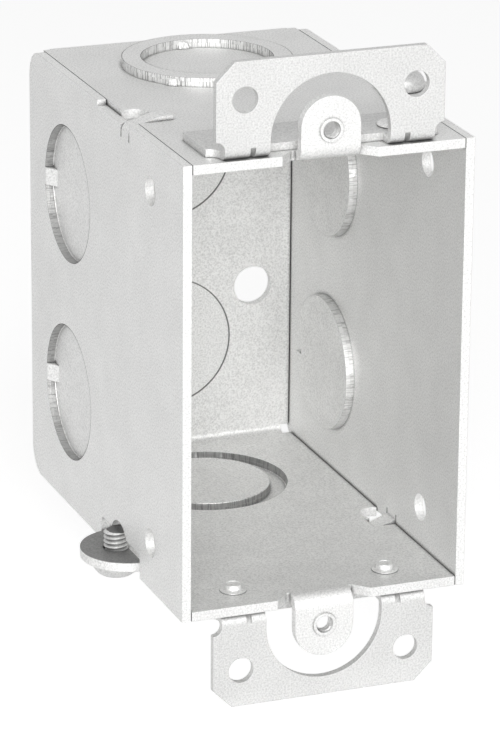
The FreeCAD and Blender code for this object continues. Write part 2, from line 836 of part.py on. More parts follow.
def make_pieces():
    """Every piece of the box, in its place."""
    rivet_across = given.rivet_spacing / 2
    return [
        make_box_body(),
        make_side_plate("left_side_plate", UNTURNED),
        make_side_plate("right_side_plate", HALF_TURN),
        make_plaster_ear("top_plaster_ear", UNTURNED),
        make_plaster_ear("bottom_plaster_ear", HALF_TURN),
        make_rivet("top_left_rivet", UNTURNED, -rivet_across, end_inside),
        make_rivet("top_right_rivet", UNTURNED, rivet_across, end_inside),
        make_rivet("bottom_left_rivet", HALF_TURN, -rivet_across, -end_inside),
        make_rivet("bottom_right_rivet", HALF_TURN, rivet_across, -end_inside),
        make_clamp_screw("top_right_clamp_screw", UNTURNED, clamp_screw_across, end_face),
        make_clamp_screw("bottom_left_clamp_screw", HALF_TURN, -clamp_screw_across, -end_face),
    ]


def check_steps(body):
    """Every pad adds to its piece and every cut takes away from it."""
    volume = 0.0
    for step in body.Group:
        if not step.isDerivedFrom("PartDesign::Feature"):
            continue
        change = step.Shape.Volume - volume
        if step.TypeId in ("PartDesign::Pad", "PartDesign::Revolution") and change <= 0:
            raise RuntimeError("%s of %s adds nothing" % (step.Label, body.Label))
        if step.TypeId == "PartDesign::Pocket" and change >= 0:
            raise RuntimeError("%s of %s cuts nothing" % (step.Label, body.Label))
        volume = step.Shape.Volume


def check_model(pieces):
    """Nothing failed, and each piece is one valid solid."""
    for item in doc.Objects:
        if "Invalid" in item.State or "Error" in item.State:
            raise RuntimeError("%s failed: %s" % (item.Label, item.State))
    for piece in pieces:
        if piece.Shape.isNull() or not piece.Shape.isValid():
            raise RuntimeError("%s has no valid shape" % piece.Label)
        if len(piece.Shape.Solids) != 1:
            raise RuntimeError("%s has %d solids" % (piece.Label, len(piece.Shape.Solids)))
        check_steps(piece)


pieces = make_pieces()
doc.recompute()
check_model(pieces)

os.makedirs("parts", exist_ok=True)
for piece in pieces:
    piece.Shape.exportStep("parts/%s.step" % piece.Label)
    box = piece.Shape.BoundBox
    print("%-26s %9.1f mm3  X %7.2f %7.2f  Y %7.2f %7.2f  Z %7.2f %7.2f" % (
        piece.Label, piece.Shape.Volume, box.XMin, box.XMax, box.YMin, box.YMax, box.ZMin, box.ZMax))
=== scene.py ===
import math

import bmesh
import bpy
from mathutils import Matrix, Vector


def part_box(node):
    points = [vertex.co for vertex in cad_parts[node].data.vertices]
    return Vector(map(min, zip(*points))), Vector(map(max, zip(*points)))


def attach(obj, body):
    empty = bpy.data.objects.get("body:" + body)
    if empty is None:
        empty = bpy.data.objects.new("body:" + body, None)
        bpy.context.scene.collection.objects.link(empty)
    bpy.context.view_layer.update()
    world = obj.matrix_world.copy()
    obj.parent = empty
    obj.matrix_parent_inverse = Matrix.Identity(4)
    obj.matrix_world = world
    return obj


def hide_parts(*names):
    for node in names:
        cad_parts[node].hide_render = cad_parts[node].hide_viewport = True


bl_info = {
    "name": "Gangable Switch Box",
    "version": (1, 0, 0),
    "blender": (4, 5, 0),
    "location": "View3D > Sidebar > Switch Box",
    "description": "Finishes a zinc-coated steel switch box and sets its studio",
    "category": "Object",
}

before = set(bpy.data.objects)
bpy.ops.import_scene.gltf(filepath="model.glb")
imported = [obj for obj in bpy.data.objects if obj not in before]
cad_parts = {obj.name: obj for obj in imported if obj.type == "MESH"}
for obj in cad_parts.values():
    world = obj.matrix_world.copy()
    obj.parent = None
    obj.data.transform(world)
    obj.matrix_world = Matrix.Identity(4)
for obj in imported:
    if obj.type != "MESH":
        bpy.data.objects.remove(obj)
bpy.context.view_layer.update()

MM = 0.001

SMOOTH_ANGLE = math.radians(40)
CRISP_ANGLE = math.radians(22)

SHEET_NODES = {
    "box_body": "body_sheet",
    "left_side_plate": "side_plate_sheet",
    "right_side_plate": "side_plate_sheet",
    "top_plaster_ear": "ear_sheet",
    "bottom_plaster_ear": "ear_sheet",
}

# Where the pieces are, in metres, as the CAD model has them.
END_FACE = 38.1 * MM
END_INSIDE = 36.5 * MM
SIDE_FACE = 24.6 * MM
SIDE_INSIDE = 23.1 * MM
END_KNOCKOUT_DEPTH = 55.5 * MM
END_KNOCKOUT_OUTER = 14.3 * MM
END_KNOCKOUT_INNER = 11.2 * MM
END_KNOCKOUT_PUSH = 1.5 * MM
SIDE_KNOCKOUT_DEPTH = 56.4 * MM
SIDE_KNOCKOUT_HEIGHT = 17.6 * MM
SIDE_KNOCKOUT = 11.75 * MM
SIDE_KNOCKOUT_PUSH = 1.42 * MM
BACK_KNOCKOUT_HEIGHT = 17.3 * MM
BACK_KNOCKOUT = 11.5 * MM
DEVICE_HEIGHT = 41.67 * MM
RIVET_ACROSS = 13.35 * MM
RIVET_DEPTH = 6.7 * MM
CLAMP_ACROSS = 24.9 * MM
CLAMP_DEPTH = 31.2 * MM
CLAMP_TIP_REACH = 4.78 * MM

# The box looks the same after half a turn about Y, so its lower pieces are the upper ones turned.
UPRIGHT = (0, 0, 0)
HALF_TURN = (0, math.pi, 0)


def linear(hex_colour):
    """An sRGB hex colour as the linear colour that shaders use."""
    channels = [int(hex_colour[i:i + 2], 16) / 255 for i in (1, 3, 5)]
    return tuple(c / 12.92 if c <= 0.04045 else ((c + 0.055) / 1.055) ** 2.4 for c in channels)


class ZincFinish(bpy.types.PropertyGroup):
    """Colours and grain of the zinc coating."""

    tone: bpy.props.FloatVectorProperty(
        name="Zinc", description="Colour of the coated sheet", subtype="COLOR", size=3,
        min=0, max=1, default=linear("#EEEEED"))
    dull: bpy.props.FloatVectorProperty(
        name="Dull zinc", description="Colour of its darker grains", subtype="COLOR", size=3,
        min=0, max=1, default=linear("#CFCFCE"))
    sheared: bpy.props.FloatVectorProperty(
        name="Sheared steel", description="Colour of a freshly cut edge", subtype="COLOR", size=3,
        min=0, max=1, default=linear("#F4F4F3"))
    # Painted shade: an occlusion node darkens the coating's colour in crevices and seams down to
    # this share.
    crevice: bpy.props.FloatProperty(
        name="Crevice", description="How dark a crevice is, where the coating stays dull",
        subtype="FACTOR", min=0, max=1, default=0.22)
    # Painted shade: the clamp lugs' inner faces are darkened in colour to this share.
    lug_shade: bpy.props.FloatProperty(
        name="Oiled", description="How bright a clamp lug's oily inner face stays",
        subtype="FACTOR", min=0, max=1, default=0.34)
    grain: bpy.props.FloatProperty(
        name="Grain", description="Width of a grain of the coating", subtype="DISTANCE",
        unit="LENGTH", default=0.30 * MM)
    mottle: bpy.props.FloatProperty(
        name="Mottle", description="Width of a cloudy patch of the coating", subtype="DISTANCE",
        unit="LENGTH", default=7.0 * MM)
    edge_round: bpy.props.FloatProperty(
        name="Edge round", description="Radius that stamping leaves on an edge",
        subtype="DISTANCE", unit="LENGTH", default=0.14 * MM)
    # Bare steel and a painted highlight: the cut edges' colour is bright sheared steel at this
    # share.
    bare_edge_highlight: bpy.props.FloatProperty(
        name="Worn edge", description="Brightness of the sheet's cut edges",
        subtype="FACTOR", min=0, max=1, default=0.82)
    streak: bpy.props.FloatProperty(
        name="Streak", description="Width of a streak on a punched wall", subtype="DISTANCE",
        unit="LENGTH", default=0.20 * MM)
    # The score is the width of a line of painted shade along a back knockout's scribed circle.
    score: bpy.props.FloatProperty(
        name="Score", description="Width of the line round a back knockout", subtype="DISTANCE",
        unit="LENGTH", default=0.26 * MM)


class HardwareSizes(bpy.types.PropertyGroup):
    """Sizes of the screws and the sheared walls."""

    pitch: bpy.props.FloatProperty(
        name="Pitch", description="Of the clamp screws' thread", subtype="DISTANCE",
        unit="LENGTH", default=0.794 * MM)
    thread_depth: bpy.props.FloatProperty(
        name="Thread depth", description="From crest to root of that thread",
        subtype="DISTANCE", unit="LENGTH", default=0.44 * MM)
    flute: bpy.props.FloatProperty(
        name="Flute", description="Width of a shear mark on a knockout's wall",
        subtype="DISTANCE", unit="LENGTH", default=0.40 * MM)
    flute_depth: bpy.props.FloatProperty(
        name="Flute depth", description="Of a shear mark", subtype="DISTANCE",
        unit="LENGTH", default=0.04 * MM)
    tear_step: bpy.props.FloatProperty(
        name="Tear step", description="Between a punched wall's sheared and torn zones",
        subtype="DISTANCE", unit="LENGTH", default=0.06 * MM)
    burr: bpy.props.FloatProperty(
        name="Burr", description="Thickness of the burr round a side knockout",
        subtype="DISTANCE", unit="LENGTH", default=0.26 * MM)
    tie_gap: bpy.props.FloatProperty(
        name="Tie gap", description="Left open in a side knockout's wall for its tie",
        subtype="DISTANCE", unit="LENGTH", default=3.1 * MM)
    web_width: bpy.props.FloatProperty(
        name="Web width", description="Of the web that still holds a punched ring",
        subtype="DISTANCE", unit="LENGTH", default=2.2 * MM)


class StudioSetup(bpy.types.PropertyGroup):
    """Where the camera stands, and the studio round the box."""

    camera_at: bpy.props.FloatVectorProperty(
        name="Camera", description="Where the camera stands", subtype="TRANSLATION",
        unit="LENGTH", size=3, default=(-0.2408, -0.5886, 0.2234))
    azimuth: bpy.props.FloatProperty(
        name="Azimuth", description="How far the camera has gone round to the left",
        subtype="ANGLE", unit="ROTATION", default=math.radians(21.132))
    elevation: bpy.props.FloatProperty(
        name="Elevation", description="How far the camera looks down",
        subtype="ANGLE", unit="ROTATION", default=math.radians(19.167))
    roll: bpy.props.FloatProperty(
        name="Roll", description="How far the camera leans", subtype="ANGLE", unit="ROTATION",
        default=math.radians(0.463))
    focal_length: bpy.props.FloatProperty(
        name="Focal length", description="Of the lens, for a picture 36 mm tall",
        subtype="DISTANCE_CAMERA", default=207.6)
    floor_drop: bpy.props.FloatProperty(
        name="Floor drop", description="From the lower plaster ear down to the floor",
        subtype="DISTANCE", unit="LENGTH", default=0.4 * MM)
    key_power: bpy.props.FloatProperty(
        name="Key light", description="Power of the large lamp at the upper left", default=5.6)
    fill_power: bpy.props.FloatProperty(
        name="Fill light", description="Power of the lamp low at the left", default=8.2)
    right_power: bpy.props.FloatProperty(
        name="Right light", description="Power of the lamp at the upper right", default=1.6)
    ambient: bpy.props.FloatProperty(
        name="Ambient", description="Brightness of the room", default=0.10)


def add_node(tree, kind, settings=None, links=None):
    """Add a node to a tree, set its fields and inputs, and link outputs into its inputs."""
    node = tree.nodes.new("ShaderNode" + kind)
    for key, value in (settings or {}).items():
        if isinstance(key, int) or key in node.inputs.keys():
            node.inputs[key].default_value = value
        else:
            setattr(node, key, value)
    for key, socket in (links or {}).items():
        tree.links.new(socket, node.inputs[key])
    return node


def new_material(name):
    """An empty node material with its output node."""
    material = bpy.data.materials.new(name)
    material.use_nodes = True
    material.node_tree.nodes.clear()
    output = material.node_tree.nodes.new("ShaderNodeOutputMaterial")
    return material, material.node_tree, output


def toned(colour, share):
    """A colour at a share of its brightness, with the alpha that a colour socket takes."""
    return (*(channel * share for channel in colour), 1.0)


def two_tone(tree, factor, low, high, dark, light):
    """A colour that runs from dark to light while a factor runs from low to high."""
    ramp = add_node(tree, "ValToRGB", links={"Fac": factor})
    first, second = ramp.color_ramp.elements
    first.position = low
    second.position = high
    first.color = dark
    second.color = light
    return ramp.outputs["Color"]


def times(tree, share, other):
    """The product of two values of a shader."""
    return add_node(tree, "Math", {"operation": "MULTIPLY"}, {0: share, 1: other}).outputs[0]


def distance_off_axis(tree, place, centre, across):
    """Distance from a line through a centre, along the axis that the across mask leaves out."""
    off = add_node(tree, "VectorMath", {"operation": "SUBTRACT", 1: centre}, {0: place})
    flat = add_node(tree, "VectorMath", {"operation": "MULTIPLY", 1: across}, {
        0: off.outputs["Vector"]})
    length = add_node(tree, "VectorMath", {"operation": "LENGTH"}, {0: flat.outputs["Vector"]})
    return length.outputs["Value"]


def shaded_score_circle(tree, place, centre, across, radius, width):
    """1 on a scored circle about a centre, falling to 0 half the score's width away: the mask of a
    line of painted shade.
    """
    distance = distance_off_axis(tree, place, centre, across)
    off = add_node(tree, "Math", {"operation": "SUBTRACT", 1: radius}, {0: distance})
    gap = add_node(tree, "Math", {"operation": "ABSOLUTE"}, {0: off.outputs[0]})
    return add_node(tree, "MapRange", {
        "From Min": width * 0.2, "From Max": width * 0.6, "To Min": 1.0, "To Max": 0.0,
    }, {"Value": gap.outputs[0]}).outputs["Result"]


def shaded_lugs(tree, place, finish):
    """The zinc's share of brightness: less on the lugs' inner faces, where shade is painted."""
    axes = add_node(tree, "SeparateXYZ", links={"Vector": place})
    across = add_node(tree, "Math", {"operation": "ABSOLUTE"}, {0: axes.outputs["X"]})
    up = add_node(tree, "Math", {"operation": "ABSOLUTE"}, {0: axes.outputs["Z"]})
    past_plate = add_node(tree, "Math", {
        "operation": "GREATER_THAN", 1: SIDE_INSIDE}, {0: across.outputs[0]})
    inner_face = add_node(tree, "Math", {
        "operation": "LESS_THAN", 1: END_INSIDE + 0.1 * MM}, {0: up.outputs[0]})
    lug_shade = times(tree, past_plate.outputs[0], inner_face.outputs[0])
    return add_node(tree, "MapRange", {"To Min": 1.0, "To Max": finish.lug_shade}, {
        "Value": lug_shade}).outputs["Result"]


def zinc_coated_steel(
        name, finish, lightness=1.0, metallic=0.5, roughness=0.5, shaded_scores=(), lug_shade=False,
        crevice=None):
    """Cold-rolled steel with a thin dull zinc coat: pale, finely grained, hardly glossy.

    The grain gives it its matt sparkle. Its cut edges are bare steel with a painted highlight, and
    an occlusion node paints shade into its crevices and seams. Scores are circles scribed into it,
    darkened with painted shade; the lug switch paints shade on the clamp lugs' inner faces; and
    crevice is how bright that painted shade leaves its crevices where they differ from the finish.
    """
    crevice = finish.crevice if crevice is None else crevice
    material, tree, output = new_material(name)
    place = add_node(tree, "TexCoord").outputs["Object"]
    grain = add_node(tree, "TexNoise", {
        "noise_dimensions": "3D", "Scale": 1 / finish.grain, "Detail": 2.0, "Roughness": 0.6,
    }, {"Vector": place})
    mottle = add_node(tree, "TexNoise", {
        "noise_dimensions": "3D", "Scale": 1 / finish.mottle, "Detail": 3.0, "Roughness": 0.55,
    }, {"Vector": place})
    grained = two_tone(
        tree, grain.outputs["Fac"], 0.30, 0.62,
        toned(finish.dull, lightness), toned(finish.tone, lightness))
    mottle_shade = add_node(tree, "MapRange", {
        "From Min": 0.3, "From Max": 0.7, "To Min": 0.96, "To Max": 1.02,
    }, {"Value": mottle.outputs["Fac"]})
    mottled = add_node(tree, "VectorMath", {"operation": "SCALE"}, {
        0: grained, "Scale": mottle_shade.outputs["Result"]})
    # Bare steel and a painted highlight: within the edge round, the Bevel node's bent normal turns
    # the colour to bright sheared steel.
    flat_normal = add_node(tree, "NewGeometry").outputs["Normal"]
    rounded = add_node(tree, "Bevel", {"samples": 6, "Radius": finish.edge_round})
    parallel = add_node(tree, "VectorMath", {"operation": "DOT_PRODUCT"}, {
        0: flat_normal, 1: rounded.outputs["Normal"]})
    edge = add_node(tree, "MapRange", {
        "From Min": 0.995, "From Max": 0.88, "To Min": 0.0, "To Max": 1.0,
    }, {"Value": parallel.outputs["Value"]})
    coloured = add_node(tree, "Mix", {"data_type": "RGBA"})
    tree.links.new(edge.outputs["Result"], coloured.inputs[0])
    tree.links.new(mottled.outputs["Vector"], coloured.inputs[6])
    coloured.inputs[7].default_value = toned(finish.sheared, finish.bare_edge_highlight)
    # Painted shade: the occlusion node darkens the colour in crevices, seams and bores, down to
    # the crevice share.
    open_sky = add_node(tree, "AmbientOcclusion", {"samples": 6, "Distance": 1.1 * MM})
    shade = add_node(tree, "MapRange", {
        "From Min": 0.44, "From Max": 0.80, "To Min": crevice, "To Max": 1.0,
    }, {"Value": open_sky.outputs["AO"]}).outputs["Result"]
    # Painted shade along each scribed circle, as dark as a crevice's painted shade.
    for centre, across, radius in shaded_scores:
        line = shaded_score_circle(tree, place, centre, across, radius, finish.score)
        kept = add_node(tree, "MapRange", {"To Min": 1.0, "To Max": crevice}, {"Value": line})
        shade = times(tree, shade, kept.outputs["Result"])
    # Painted shade on the clamp lugs' inner faces.
    if lug_shade:
        shade = times(tree, shade, shaded_lugs(tree, place, finish))
    colour = add_node(tree, "VectorMath", {"operation": "SCALE"}, {
        0: coloured.outputs[2], "Scale": shade})
    bump = add_node(tree, "Bump", {"Strength": 0.55, "Distance": 0.04 * MM}, {
        "Height": grain.outputs["Fac"], "Normal": rounded.outputs["Normal"]})
    dullness = add_node(tree, "MapRange", {
        "From Min": 0.3, "From Max": 0.7, "To Min": roughness + 0.06, "To Max": roughness - 0.06,
    }, {"Value": grain.outputs["Fac"]})
    surface = add_node(tree, "BsdfPrincipled", {"Metallic": metallic}, {
        "Base Color": colour.outputs["Vector"],
        "Roughness": dullness.outputs["Result"],
        "Normal": bump.outputs["Normal"],
    })
    tree.links.new(surface.outputs["BSDF"], output.inputs["Surface"])
    return material


def sheared_steel(name, finish, along, darkest, lightness):
    """The wall that a punch leaves: bare bright steel, streaked along the punch's way.

    Along is the share of the streaks' fineness that is left along each axis, darkest is how
    bright the darkest streak is, and lightness goes for the whole wall.
    """
    material, tree, output = new_material(name)
    place = add_node(tree, "TexCoord").outputs["Object"]
    drawn = add_node(tree, "VectorMath", {"operation": "MULTIPLY", 1: along}, {0: place})
    streaks = add_node(tree, "TexNoise", {
        "noise_dimensions": "3D", "Scale": 1 / finish.streak, "Detail": 1.5, "Roughness": 0.6,
    }, {"Vector": drawn.outputs["Vector"]})
    streaked = two_tone(
        tree, streaks.outputs["Fac"], 0.36, 0.52,
        toned(finish.dull, darkest * lightness), toned(finish.sheared, lightness))
    bump = add_node(tree, "Bump", {"Strength": 0.5, "Distance": 0.05 * MM}, {
        "Height": streaks.outputs["Fac"]})
    surface = add_node(tree, "BsdfPrincipled", {"Metallic": 0.6, "Roughness": 0.45}, {
        "Base Color": streaked,
        "Normal": bump.outputs["Normal"],
    })
    tree.links.new(surface.outputs["BSDF"], output.inputs["Surface"])
    return material


def dress(node, material):
    """Give a CAD node its finish."""
    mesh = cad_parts[node].data
    mesh.materials.clear()
    mesh.materials.append(material)


def pick_vertices(piece, wanted):
    """In edit mode, select only the vertices whose place passes a test."""
    mesh = bmesh.from_edit_mesh(piece.data)
    bpy.ops.mesh.select_mode(type="VERT")
    for vertex in mesh.verts:
        vertex.select_set(wanted(vertex.co))
    mesh.select_flush_mode()
    bmesh.update_edit_mesh(piece.data)


def only(piece):
    """Leave edit mode, and make a piece the only one selected."""
    if bpy.context.mode != "OBJECT":
        bpy.ops.object.mode_set(mode="OBJECT")
    bpy.ops.object.select_all(action="DESELECT")
    piece.select_set(True)
    bpy.context.view_layer.objects.active = piece


def set_in_place(piece, at, turn=UPRIGHT):
    """Turn a piece that was made about the origin, move it, and keep its place in its mesh."""
    only(piece)
    piece.rotation_euler = turn
    piece.location = at
    bpy.ops.object.transform_apply(location=True, rotation=True, scale=True)


def apply_modifier(piece, kind, **settings):
    """Finish a piece with one modifier."""
    only(piece)
    modifier = piece.modifiers.new(kind.lower(), kind)
    for key, value in settings.items():
        setattr(modifier, key, value)
    bpy.ops.object.modifier_apply(modifier=modifier.name)


def copy_of(piece, name):
    """A copy with its own mesh."""
    made = piece.copy()
    made.data = piece.data.copy()
    made.name = name
    bpy.context.scene.collection.objects.link(made)
    return made


def turned(name, profile, sides):
    """A piece turned about the Z axis, from the radii and levels of its profile, lowest first."""
    bpy.ops.object.select_all(action="DESELECT")
    radius, level = profile[0]
    bpy.ops.mesh.primitive_circle_add(
        vertices=sides, radius=radius, fill_type="NGON", location=(0, 0, level))
    piece = bpy.context.active_object
    piece.name = name
    bpy.ops.object.mode_set(mode="EDIT")
    bpy.ops.mesh.select_all(action="SELECT")
    for next_radius, next_level in profile[1:]:
        bpy.ops.mesh.extrude_region_move(
            TRANSFORM_OT_translate={"value": (0, 0, next_level - level)})
        share = next_radius / radius
        bpy.ops.transform.resize(value=(share, share, 1), center_override=(0, 0, next_level))
        radius, level = next_radius, next_level
    bpy.ops.mesh.select_all(action="SELECT")
    bpy.ops.mesh.normals_make_consistent(inside=False)
    set_in_place(piece, (0, 0, profile[0][1]))
    return piece


def thread(name, root, crest, pitch, turns):
    """A screw thread about the Z axis, from level 0 up: one tooth drawn and wound round."""
    bpy.ops.object.select_all(action="DESELECT")
    middle = (root + crest) / 2
    bpy.ops.mesh.primitive_plane_add(
        size=pitch, location=(middle, 0, pitch / 2), rotation=(math.pi / 2, 0, 0))
    tooth = bpy.context.active_object
    tooth.name = name
    bpy.ops.object.transform_apply(location=True, rotation=True, scale=True)

    def at_crest(co):
        return (co.x - middle) * (crest - root) > 0

    bpy.ops.object.mode_set(mode="EDIT")
    bpy.ops.mesh.select_all(action="SELECT")
    bpy.ops.transform.resize(
        value=(abs(crest - root) / pitch, 1, 1), center_override=(middle, 0, pitch / 2))
    pick_vertices(tooth, at_crest)
    bpy.ops.transform.resize(value=(1, 1, 0.16), center_override=(middle, 0, pitch / 2))
    bpy.ops.mesh.select_all(action="SELECT")
    bpy.ops.mesh.delete(type="ONLY_FACE")
    bpy.ops.mesh.select_mode(type="EDGE")
    mesh = bmesh.from_edit_mesh(tooth.data)
    for edge in mesh.edges:
        edge.select_set(not any(at_crest(vertex.co) for vertex in edge.verts))
    bmesh.update_edit_mesh(tooth.data)
    bpy.ops.mesh.delete(type="EDGE")
    apply_modifier(
        tooth, "SCREW", axis="Z", angle=2 * math.pi, screw_offset=pitch, iterations=turns,
        steps=32, render_steps=32, use_merge_vertices=True, merge_threshold=0.001 * MM)
    return tooth


def cut_level(piece, level, clear_above, fill):
    """Cut a piece off level: clear what is above the cut, or else what is below it."""
    only(piece)
    bpy.ops.object.mode_set(mode="EDIT")
    bpy.ops.mesh.select_all(action="SELECT")
    bpy.ops.mesh.bisect(
        plane_co=(0, 0, level), plane_no=(0, 0, 1), use_fill=fill,
        clear_outer=clear_above, clear_inner=not clear_above)
    bpy.ops.mesh.select_all(action="SELECT")
    bpy.ops.mesh.normals_make_consistent(inside=False)
    bpy.ops.object.mode_set(mode="OBJECT")


def join(name, pieces):
    """Join pieces to one."""
    only(pieces[0])
    for piece in pieces:
        piece.select_set(True)
    bpy.ops.object.join()
    pieces[0].name = name
    return pieces[0]


def finish_piece(piece, material, body, slot, *stands_for, crisp=False):
    """Give a piece its finish and its body, and hide the CAD nodes that it stands for.

    Crisp keeps more of its edges sharp. The slot is not used.
    """
    only(piece)
    piece.data.materials.clear()
    piece.data.materials.append(material)
    bpy.ops.object.shade_smooth_by_angle(angle=CRISP_ANGLE if crisp else SMOOTH_ANGLE)
    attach(piece, body)
    if stands_for:
        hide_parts(*stands_for)


class SWITCHBOX_OT_sheets(bpy.types.Operator):
    """Give the folded body, the side plates and the plaster ears their zinc-coated finish"""

    bl_idname = "switchbox.sheets"
    bl_label = "Finish the sheets"

    def execute(self, context):
        finish = context.scene.switchbox_zinc
        shaded_scores = [
            ((0, 0, height), (1, 0, 1), BACK_KNOCKOUT + 0.05 * MM)
            for height in (BACK_KNOCKOUT_HEIGHT, -BACK_KNOCKOUT_HEIGHT)
        ]
        # Dull zinc on cold-rolled sheet: one soft pale grey that keeps its scribed circles, its
        # sheared edges and its seams legible, with painted shade in the circles, seams and
        # crevices, a painted highlight on the bare sheared edges, and painted shade on the clamp
        # lugs' inner faces. The ears are a little duller than the box, and take less of the
        # crevices' painted shade.
        made = {
            "body_sheet": zinc_coated_steel(
                "galvanised_body_sheet", finish, 1.07, shaded_scores=shaded_scores, lug_shade=True),
            "side_plate_sheet": zinc_coated_steel("galvanised_plate_sheet", finish, 1.13),
            "ear_sheet": zinc_coated_steel("galvanised_ear_sheet", finish, 0.91, crevice=0.75),
        }
        for node, slot in SHEET_NODES.items():
            dress(node, made[slot])
        return {"FINISHED"}


class SWITCHBOX_OT_rivets(bpy.types.Operator):
    """Make the four rivets: low head on the ear, flared foot and flat stub inside the box"""

    bl_idname = "switchbox.rivets"
    bl_label = "Make the rivets"

    def execute(self, context):
        # Plated wire: brighter than the sheet, partly as a painted highlight on a rivet's rim and
        # foot.
        plated = zinc_coated_steel(
            "plated_highlit_rivet_steel", context.scene.switchbox_zinc, 1.12, 0.5, 0.42)
        profile = [
            (0.95, -0.98), (1.12, -1.04), (1.24, -1.20), (1.33, -1.18), (1.40, -0.60),
            (1.46, -0.44), (1.62, -0.34), (2.05, -0.26), (2.20, -0.18), (2.22, -0.08),
            (2.14, -0.005), (1.50, -0.005), (1.50, 2.945), (2.60, 2.945), (2.69, 3.06),
            (2.62, 3.26), (2.30, 3.50), (1.70, 3.66), (0.90, 3.73), (0.30, 3.74),
        ]
        rivet = turned("rivet", [(radius * MM, level * MM) for radius, level in profile], 40)
        for row, up, turn in (("top", END_INSIDE, UPRIGHT), ("bottom", -END_INSIDE, HALF_TURN)):
            for side, across in (("left", -RIVET_ACROSS), ("right", RIVET_ACROSS)):
                made = copy_of(rivet, "%s_%s_formed_rivet" % (row, side))
                set_in_place(made, (across, RIVET_DEPTH, up), turn)
                finish_piece(
                    made, plated, "box", "rivet", "%s_%s_rivet" % (row, side), crisp=True)
        bpy.data.objects.remove(rivet)
        return {"FINISHED"}


class SWITCHBOX_OT_clamp_screws(bpy.types.Operator):
    """Make the two clamp screws: threaded shank and slotted pan head"""

    bl_idname = "switchbox.clamp_screws"
    bl_label = "Make the clamp screws"

    def execute(self, context):
        sizes = context.scene.switchbox_hardware
        # Plated steel with a soft gloss, which bands the thread light and dark, and its cut end,
        # coloured nearly black.
        plated = zinc_coated_steel(
            "plated_screw_steel", context.scene.switchbox_zinc, 0.90, 0.40, 0.34)
        cut_end = zinc_coated_steel(
            "dark_cut_screw_steel", context.scene.switchbox_zinc, 0.20, 0.6, 0.5)
        profile = [
            (3.90, 0.02), (4.08, 0.12), (4.09, 0.70), (4.02, 1.24), (3.80, 1.82),
            (3.40, 2.38), (2.80, 2.86), (2.00, 3.18), (1.10, 3.32), (0.35, 3.35),
        ]
        head = turned("pan_head", [(radius * MM, level * MM) for radius, level in profile], 56)
        crest = 2.08 * MM
        shank = thread("shank", crest - sizes.thread_depth, crest, sizes.pitch, 8)
        set_in_place(shank, (0, 0, -5.6 * MM))
        cut_level(shank, -CLAMP_TIP_REACH, False, True)
        cut_level(shank, 0.3 * MM, True, True)
        apply_modifier(head, "BOOLEAN", operation="UNION", object=shank, solver="EXACT")
        bpy.data.objects.remove(shank)
        only(head)
        bpy.ops.object.select_all(action="DESELECT")
        bpy.ops.mesh.primitive_cube_add(size=1, location=(0, 0, 3.35 * MM))
        driver = bpy.context.active_object
        driver.scale = (10 * MM, 1.2 * MM, 2.6 * MM)
        bpy.ops.object.transform_apply(location=True, rotation=True, scale=True)
        apply_modifier(head, "BOOLEAN", operation="DIFFERENCE", object=driver, solver="EXACT")
        bpy.data.objects.remove(driver)
        places = (
            ("top_right", (CLAMP_ACROSS, CLAMP_DEPTH, END_FACE), UPRIGHT),
            ("bottom_left", (-CLAMP_ACROSS, CLAMP_DEPTH, -END_FACE), HALF_TURN),
        )
        for corner, at, turn in places:
            screw = copy_of(head, corner + "_threaded_screw")
            set_in_place(screw, at, turn)
            finish_piece(
                screw, plated, corner + "_screw", "screw", corner + "_clamp_screw", crisp=True)
            screw.data.materials.append(cut_end)
            for face in screw.data.polygons:
                reach = END_FACE - abs(face.center.z)
                faces_end = abs(face.normal.z) > 0.9
                if faces_end and reach > CLAMP_TIP_REACH - 0.08 * MM:
                    face.material_index = 1
        bpy.data.objects.remove(head)
        return {"FINISHED"}


class SWITCHBOX_OT_device_holes(bpy.types.Operator):
    """Make the rolled rims and the threads of the two device screw holes"""

    bl_idname = "switchbox.device_holes"
    bl_label = "Make the device holes"

    def execute(self, context):
        finish = context.scene.switchbox_zinc
        # Steel that the tap rolled and polished: a bright ring with a dark bore, its own shade
        # with some painted shade from the occlusion node.
        steel = zinc_coated_steel("tapped_rim_steel", finish, 1.0, 0.6, 0.35, crevice=0.7)
        rolled = thread("tapping", 1.44 * MM, 1.27 * MM, 0.794 * MM, 4)
        cut_level(rolled, 0.75 * MM, False, False)
        cut_level(rolled, 2.55 * MM, True, False)
        set_in_place(rolled, (0, 0, -0.72 * MM))
        rim_radius = 1.72 * MM
        bpy.ops.object.select_all(action="DESELECT")
        bpy.ops.mesh.primitive_torus_add(
            major_radius=rim_radius, minor_radius=0.34 * MM, major_segments=56,
            minor_segments=16, location=(0, 0, 0))
        rim = bpy.context.active_object
        bpy.ops.object.mode_set(mode="EDIT")
        pick_vertices(rim, lambda co: co.z < 0.03 * MM and math.hypot(co.x, co.y) > rim_radius)
        bpy.ops.transform.resize(value=(1.07, 1.07, 1), center_override=(0, 0, 0))
        bpy.ops.object.mode_set(mode="OBJECT")
        for end, up in (("upper", DEVICE_HEIGHT), ("lower", -DEVICE_HEIGHT)):
            sleeve = copy_of(rolled, end + "_thread")
            set_in_place(sleeve, (0, 0, up), (-math.pi / 2, 0, 0))
            collar = copy_of(rim, end + "_collar")
            set_in_place(collar, (0, 0.22 * MM, up), (math.pi / 2, 0, 0))
            made = join(end + "_tapped_rim", [collar, sleeve])
            finish_piece(made, steel, "box", "body_sheet")
        bpy.data.objects.remove(rolled)
        bpy.data.objects.remove(rim)
        return {"FINISHED"}


